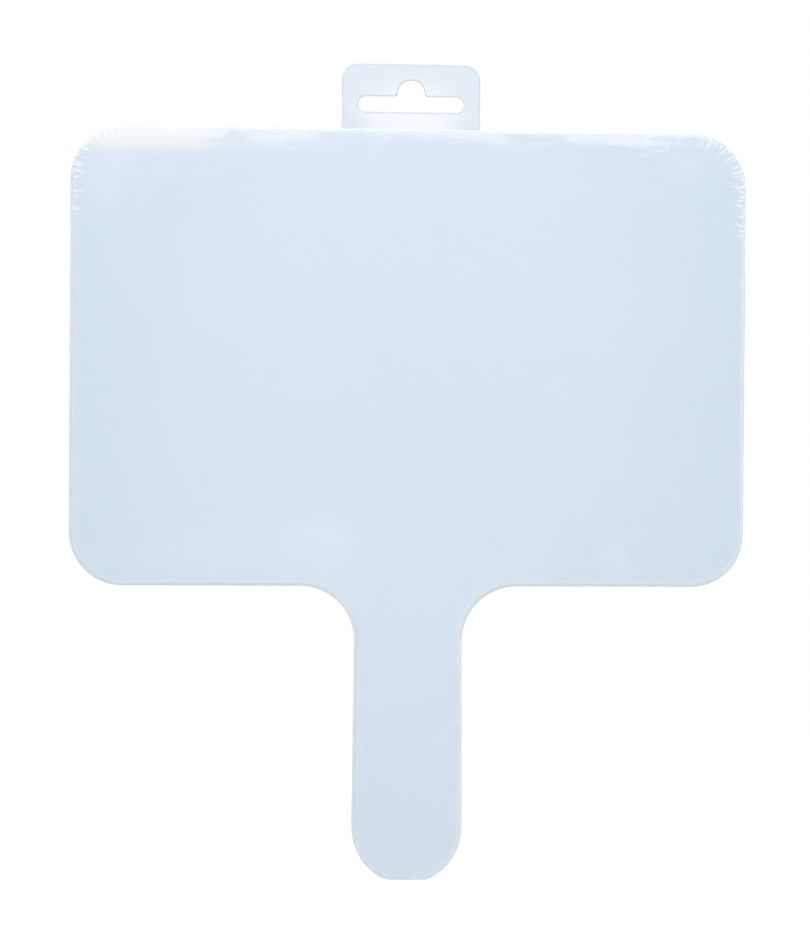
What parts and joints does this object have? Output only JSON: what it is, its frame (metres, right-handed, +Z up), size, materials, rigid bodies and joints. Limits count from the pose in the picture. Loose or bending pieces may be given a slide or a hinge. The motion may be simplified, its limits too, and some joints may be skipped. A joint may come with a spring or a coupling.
{
  "type": "dry-erase paddle board",
  "caption": "Flat hand-held dry-erase paddle: rounded rectangular white writing blade with a handle in its plane, in clear shrink film, with a clear euro-slot hang tab behind its top edge.",
  "frame": {"origin": "where a display peg bears: the top of the euro slot's arch, on the centre line, halfway through the tab's thickness", "axes": "+Z up along the handle towards the tab, +Y from the writing face to the back of the pack, +X to the right as seen from the front"},
  "size_m": [0.2044, 0.0041, 0.2471],
  "materials": {
    "greyboard": "matte",
    "white_writing_face": "gloss",
    "clear_film": "gloss",
    "clear_tab_plastic": "gloss",
    "clear_adhesive": "satin"
  },
  "bodies": {
    "root": {"core_board": "greyboard", "front_writing_sheet": "white_writing_face", "back_writing_sheet": "white_writing_face", "shrink_film": "clear_film", "hang_tab": "clear_tab_plastic", "tab_adhesive_pad": "clear_adhesive"}
  },
  "joints": []
}
